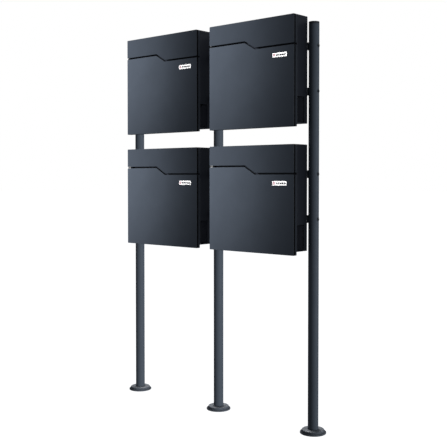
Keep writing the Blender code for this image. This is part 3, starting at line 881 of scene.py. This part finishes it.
def bolt_head():
    """A button head on its washer, standing out along X from zero, with a hex socket."""
    dome = arc((0.0, SEAT), 1.0, 0.0, 68.0, 7)
    profile = [(0.0, SEAT)] + [(BOLT_HEAD_RADIUS * r, SEAT + (h - SEAT) * BOLT_HEAD_HEIGHT)
                               for r, h in dome] + [(0.0, SEAT + 0.93 * BOLT_HEAD_HEIGHT)]
    socket = prism(hexagon(0.0020), "X", SEAT + 0.0009, SEAT + 0.005)
    return joined(washer(), cut(turned(profile, "X"), [socket]))


def bolt_nut():
    """A nut on its washer with the bolt's end, standing out along X from zero."""
    radius, stands_out, edge = 0.0029, 0.0020, 0.0005
    top = SEAT + NUT_HEIGHT
    nut = prism(hexagon(NUT_RADIUS), "X", SEAT, top, edge)
    end = bar("X", (0.0, 0.0, 0.0), radius, top, top + stands_out, edge)
    return joined(washer(), nut, end)


def pan_screw():
    """A pan-head screw that stands out along Y from zero, with a cross recess."""
    narrow, wide = span(0.0, 0.0010), span(0.0, 0.0046)
    dome = arc((0.0, 0.0), 1.0, 0.0, 75.0, 7)
    profile = [(0.0, 0.0), (SCREW_HEAD_RADIUS, 0.0)]
    profile += [(SCREW_HEAD_RADIUS * r, SCREW_HEAD_HEIGHT * (0.25 + 0.75 * h)) for r, h in dome]
    profile.append((0.0, SCREW_HEAD_HEIGHT))
    depth = (SCREW_HEAD_HEIGHT * 0.4, SCREW_HEAD_HEIGHT * 1.5)
    return cut(turned(profile, "Y"), [block(narrow, depth, wide), block(wide, depth, narrow)])


# ---- Assembly ----
def add_boxes(looks):
    """Every visible piece of the four boxes."""
    fixed, flap_body, door_body, cam_body = BODY, "{}_flap_body", "{}_door_body", "{}_cam_body"
    recipes = [
        ("flap_shell", flap_shell, "front", "front_powder", flap_body, ("flap",)),
        ("door_shell", door_shell, "front", "front_powder", door_body, ("door",)),
        # The two black strips in the fronts' grooves are painted shade: they paint the dark shadow
        # line along each front's edges.
        ("flap_gasket", lambda: painted_shadow_strip(flap_outline()), "rubber", "cap_plastic", flap_body, ()),
        ("door_gasket", lambda: painted_shadow_strip(door_outline()), "rubber", "cap_plastic", door_body, ()),
        ("seam_buffers", seam_buffers, "rubber", "cap_plastic", fixed, ()),
        ("striker", striker, "zinc", "cam_zinc", door_body, ()),
        ("case_skin", case_skin, "case", "case_powder", fixed, ("case",)),
        ("hinge_eyes", hinge_eyes, "case", "case_powder", fixed, ()),
        ("back_skin", back_skin, "case", "case_powder", fixed, ("back_panel",)),
        ("back_rivets", back_rivets, "fixing", "rod_steel", fixed, ()),
        ("flap_pin", flap_pin, "rod", "rod_steel", fixed, ("flap_rod",)),
        ("door_pin", door_pin, "pin", "rod_steel", fixed, ("door_rod",)),
        ("lock_body", lock_body, "chrome", "lock_chrome", fixed, ("lock_barrel",)),
        ("lock_plug", lock_plug, "chrome", "lock_chrome", fixed, ()),
        ("lock_nut", lock_nut, "zinc", "cam_zinc", fixed, ()),
        ("cam_plate", cam_plate, "zinc", "cam_zinc", cam_body, ("lock_cam",)),
        ("label", label, "label", "name_plate", door_body, ("name_plate",)),
        ("label_line", lambda: joined(*[printed(*mark) for mark in LINE_MARKS]), "ink",
         "name_plate", door_body, ()),
        ("label_marker", lambda: printed(*MARKER), "accent", "name_plate", door_body, ()),
    ]
    meshes = {name: finished_mesh(name, make(), looks[look])
              for name, make, look, _, _, _ in recipes}
    boxes = {}
    for row in ROWS:
        for column in COLUMNS:
            box = f"{row}_{column}"
            low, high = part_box(f"{box}_flap")
            origin = Vector((low.x, low.y, high.z))
            boxes[box] = [place(f"{box}_{name}", meshes[name], origin, body.format(box),
                                [f"{box}_{node}" for node in nodes])
                          for name, _, _, slot, body, nodes in recipes]
            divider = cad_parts[f"{box}_divider"]
            divider.data.materials.clear()
            divider.data.materials.append(looks["inside"])
            boxes[box].append(divider)
    return boxes


def add_posts(looks):
    """Posts, caps, foot flanges and cover rings."""
    recipes = [("tube", post_tube, "post", "post_powder", "post"),
               ("cap_body", cap_body, "cap", "cap_plastic", "post_cap"),
               ("flange_plate", flange_plate, "foot", "foot_powder", "foot_flange"),
               ("rosette_ring", rosette_ring, "foot", "foot_powder", "foot_rosette")]
    pieces = []
    for name, make, look, slot, node in recipes:
        mesh = finished_mesh(name, make(), looks[look])
        for side in SIDES:
            low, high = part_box(f"{side}_{node}")
            axis = Vector(((low.x + high.x) / 2.0, 0.0, 0.0))
            pieces.append(place(f"{side}_{name}", mesh, axis, BODY, [f"{side}_{node}"]))
    return pieces


def add_crossbars(looks):
    """Crossbars, the screws into the boxes and the bolts through the posts."""
    strip = finished_mesh("crossbar", crossbar_strip(), looks["bracket"])
    screw = finished_mesh("bar_screw", pan_screw(), looks["fixing"])
    head = finished_mesh("bolt_head", bolt_head(), looks["post"])
    left_head = finished_mesh("bolt_head_left", mirrored(bolt_head()), looks["post"])
    nut = finished_mesh("bolt_nut", bolt_nut(), looks["fixing"])
    left_nut = finished_mesh("bolt_nut_left", mirrored(bolt_nut()), looks["fixing"])
    outer_left, outer_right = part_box("left_post")[0].x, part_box("right_post")[1].x
    pieces = []
    for row in ROWS:
        for level in BAR_LEVELS:
            edges = {}
            for column in COLUMNS:
                node = f"{row}_{column}_{level}_crossbar"
                low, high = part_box(node)
                middle = (low + high) / 2.0
                edges[column] = (low.x, high.x)
                pieces.append(place(f"{row}_{column}_{level}_strip", strip,
                                    (middle.x, 0.0, middle.z), BODY, [node]))
                for index, share in enumerate(SCREW_SHARES):
                    x = low.x + (high.x - low.x) * share
                    pieces.append(place(f"{row}_{column}_{level}_screw_{index + 1}", screw,
                                        (x, low.y + BAR_WALL, middle.z), BODY))
            fixings = [("left_bolt", left_head, outer_left),
                       ("left_nut", nut, edges["left"][0] + BAR_WALL),
                       ("middle_bolt", head, edges["right"][0] + BAR_WALL),
                       ("middle_nut", left_nut, edges["left"][1] - BAR_WALL),
                       ("right_bolt", head, outer_right),
                       ("right_nut", left_nut, edges["right"][1] - BAR_WALL)]
            for name, mesh, x in fixings:
                pieces.append(place(f"{row}_{level}_{name}", mesh, (x, 0.0, middle.z), BODY))
    return pieces


# ---- Camera, floor and light ----
CAMERA_PLACE = (1.9638, -2.1858, 0.8462)
CAMERA_TURN = math.radians(41.585)
CAMERA_DIP = math.radians(1.415)
CAMERA_LENS = 65.05
CAMERA_SHIFT_Y = -0.0582

# Each front is lit by a wide soft cone whose middle lies to the left of its box.
CONE_OFFSET = -0.31
CONE_RADIUS = 0.695
CONE_SOURCE = Vector((-0.25, -2.6, 0.75))
FLAP_POWER, DOOR_POWER = 615.0, 820.0
COLUMN_SHARE = {"left": 1.12, "right": 1.0}
SIDE_POWER = {"left": 13.0, "right": 16.0}

# Place and power of the soft light of each post; the boxes cast no shadow from it.
POST_LIGHTS = {"left": ((3.0, -0.45, 0.4), 215.0), "middle": ((3.0, -0.45, 0.4), 165.0),
               "right": ((3.0, 0.6, 0.4), 95.0)}


def add_camera():
    """A long lens from the right, tipped down a little and shifted to keep uprights upright."""
    data = bpy.data.cameras.new("camera")
    data.lens = CAMERA_LENS
    data.sensor_width = 36.0
    data.shift_y = CAMERA_SHIFT_Y
    camera = bpy.data.objects.new("camera", data)
    camera.location = CAMERA_PLACE
    camera.rotation_euler = (math.pi / 2.0 - CAMERA_DIP, 0.0, CAMERA_TURN)
    bpy.context.scene.collection.objects.link(camera)
    bpy.context.scene.camera = camera


def receivers(name, pieces):
    """A collection of the pieces that one light is for."""
    group = bpy.data.collections.new(name)
    for piece in pieces:
        group.objects.link(piece)
    return group


def add_light(data, source, aim, group=None):
    """Put a light in place, turned to its aim, for all pieces or for one group."""
    light = bpy.data.objects.new(data.name, data)
    light.location = source
    light.rotation_euler = (Vector(aim) - Vector(source)).to_track_quat("-Z", "Y").to_euler()
    bpy.context.scene.collection.objects.link(light)
    if group:
        light.light_linking.receiver_collection = group
    return light


def area_light(name, source, aim, size, power, group=None):
    """A rectangular soft light aimed at a point."""
    data = bpy.data.lights.new(name, "AREA")
    data.shape = "RECTANGLE"
    data.size, data.size_y = size
    data.energy = power
    light = add_light(data, source, aim, group)
    light.visible_camera = False
    return light


def cone_light(name, source, aim, power, group):
    """A spot whose light fades smoothly to nothing at the cone's radius round its aim."""
    data = bpy.data.lights.new(name, "SPOT")
    data.energy = power
    data.spot_size = 2.0 * math.atan(CONE_RADIUS / (aim - source).length)
    data.spot_blend = 1.0
    data.shadow_soft_size = 0.12
    add_light(data, source, aim, group).visible_glossy = False


def add_world():
    """White to the camera, dim to everything else."""
    world = bpy.data.worlds.new("studio")
    world.use_nodes = True
    tree = world.node_tree
    tree.nodes.clear()
    output = tree.nodes.new("ShaderNodeOutputWorld")
    mix = tree.nodes.new("ShaderNodeMixShader")
    path = tree.nodes.new("ShaderNodeLightPath")
    tree.links.new(path.outputs["Is Camera Ray"], mix.inputs["Fac"])
    backgrounds = [((0.80, 0.88, 1.0, 1.0), 0.16), ((1.0, 1.0, 1.0, 1.0), 1.0)]
    for index, (colour, strength) in enumerate(backgrounds):
        background = tree.nodes.new("ShaderNodeBackground")
        background.inputs["Color"].default_value = colour
        background.inputs["Strength"].default_value = strength
        tree.links.new(background.outputs["Background"], mix.inputs[index + 1])
    tree.links.new(mix.outputs["Shader"], output.inputs["Surface"])
    bpy.context.scene.world = world


def add_floor():
    """A white floor: its own glow hides all but the darkest part of a shadow."""
    half_width = 40.0
    mesh = bpy.data.meshes.new("floor")
    bm = bmesh.new()
    bmesh.ops.create_grid(bm, x_segments=1, y_segments=1, size=half_width)
    bm.to_mesh(mesh)
    bm.free()
    floor = bpy.data.objects.new("floor", mesh)
    material = bpy.data.materials.new("floor_white")
    material.use_nodes = True
    sockets = material.node_tree.nodes["Principled BSDF"].inputs
    for name, value in (("Base Color", (0.8, 0.8, 0.8, 1.0)), ("Roughness", 1.0),
                        ("Specular IOR Level", 0.0), ("Emission Color", (1.0, 1.0, 1.0, 1.0)),
                        ("Emission Strength", 0.93)):
        sockets[name].default_value = value
    mesh.materials.append(material)
    floor.visible_diffuse = False
    floor.visible_glossy = False
    floor.visible_shadow = False
    bpy.context.scene.collection.objects.link(floor)


def light_boxes(boxes):
    """Each flap and door fades from a lit left side to a dark lower right corner."""
    for box, pieces in boxes.items():
        flaps = [piece for piece in pieces if "_flap_" in piece.name]
        others = [piece for piece in pieces if piece not in flaps]
        low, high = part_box(f"{box}_flap")
        aim = Vector((low.x + CONE_OFFSET, low.y, high.z))
        column = box.split("_")[1]
        whole = receivers(f"{box}_lit", pieces)
        side = area_light(f"{box}_side_light", (4.0, -0.6, 1.2), (0.0, 0.0, 0.9), (2.5, 2.5),
                          SIDE_POWER[column], whole)
        side.light_linking.blocker_collection = whole
        for name, group, power in (("flap", flaps, FLAP_POWER), ("door", others, DOOR_POWER)):
            cone_light(f"{box}_{name}_cone", aim + CONE_SOURCE, aim, power * COLUMN_SHARE[column],
                       receivers(f"{box}_{name}_lit", group))


def light_stand(posts, bars):
    """The posts are lit from the right, the farther ones more; feet and bars have their own."""
    for side, (source, power) in POST_LIGHTS.items():
        group = receivers(f"{side}_post_lit", [post for post in posts if side in post.name])
        light = area_light(f"{side}_post_light", source, (0.0, 0.0, 0.4), (1.2, 2.0), power, group)
        light.light_linking.blocker_collection = group
        light.visible_glossy = False
    feet = receivers("feet_lit", [post for post in posts if "rosette_ring" in post.name])
    area_light("foot_light", (-0.6, 0.4, 2.4), (0.0, 0.0, 0.0), (1.0, 1.0), 105.0, feet)
    area_light("bar_light", (2.6, -0.3, 1.0), (0.0, 0.0, 0.7), (1.6, 2.4), 10.0,
               receivers("bars_lit", bars))


def light_rest(box_pieces, stand_pieces):
    """Lights for the labels, for the inside of the backs, and from behind and above."""
    labels = receivers("labels_lit", [piece for piece in box_pieces if "_label" in piece.name])
    area_light("label_light", (1.0, -3.0, 1.6), (0.0, 0.0, 1.0), (1.0, 1.0), 135.0, labels)
    backs = receivers("backs_lit", [piece for piece in box_pieces if "_back_skin" in piece.name])
    area_light("inside_light", (2.3, -2.2, 0.9), (0.0, 0.0, 0.9), (1.0, 1.0), 20.0, backs)
    unit = receivers("unit_lit", stand_pieces + box_pieces)
    back = area_light("back_light", (-2.1, 2.4, 1.9), (0.0, 0.0, 0.8), (2.0, 2.0), 70.0, unit)
    back.visible_glossy = False
    area_light("top_light", (0.4, 0.6, 3.6), (0.0, 0.0, 0.6), (3.0, 3.0), 12.0)


def main():
    """Build, finish and light the unit."""
    looks = make_looks()
    boxes = add_boxes(looks)
    posts = add_posts(looks)
    bars = add_crossbars(looks)
    add_camera()
    add_world()
    add_floor()
    light_boxes(boxes)
    light_stand(posts, bars)
    light_rest(sum(boxes.values(), []), posts + bars)
    bpy.context.scene.view_settings.view_transform = "Standard"
    bpy.context.scene.view_settings.look = "None"


main()
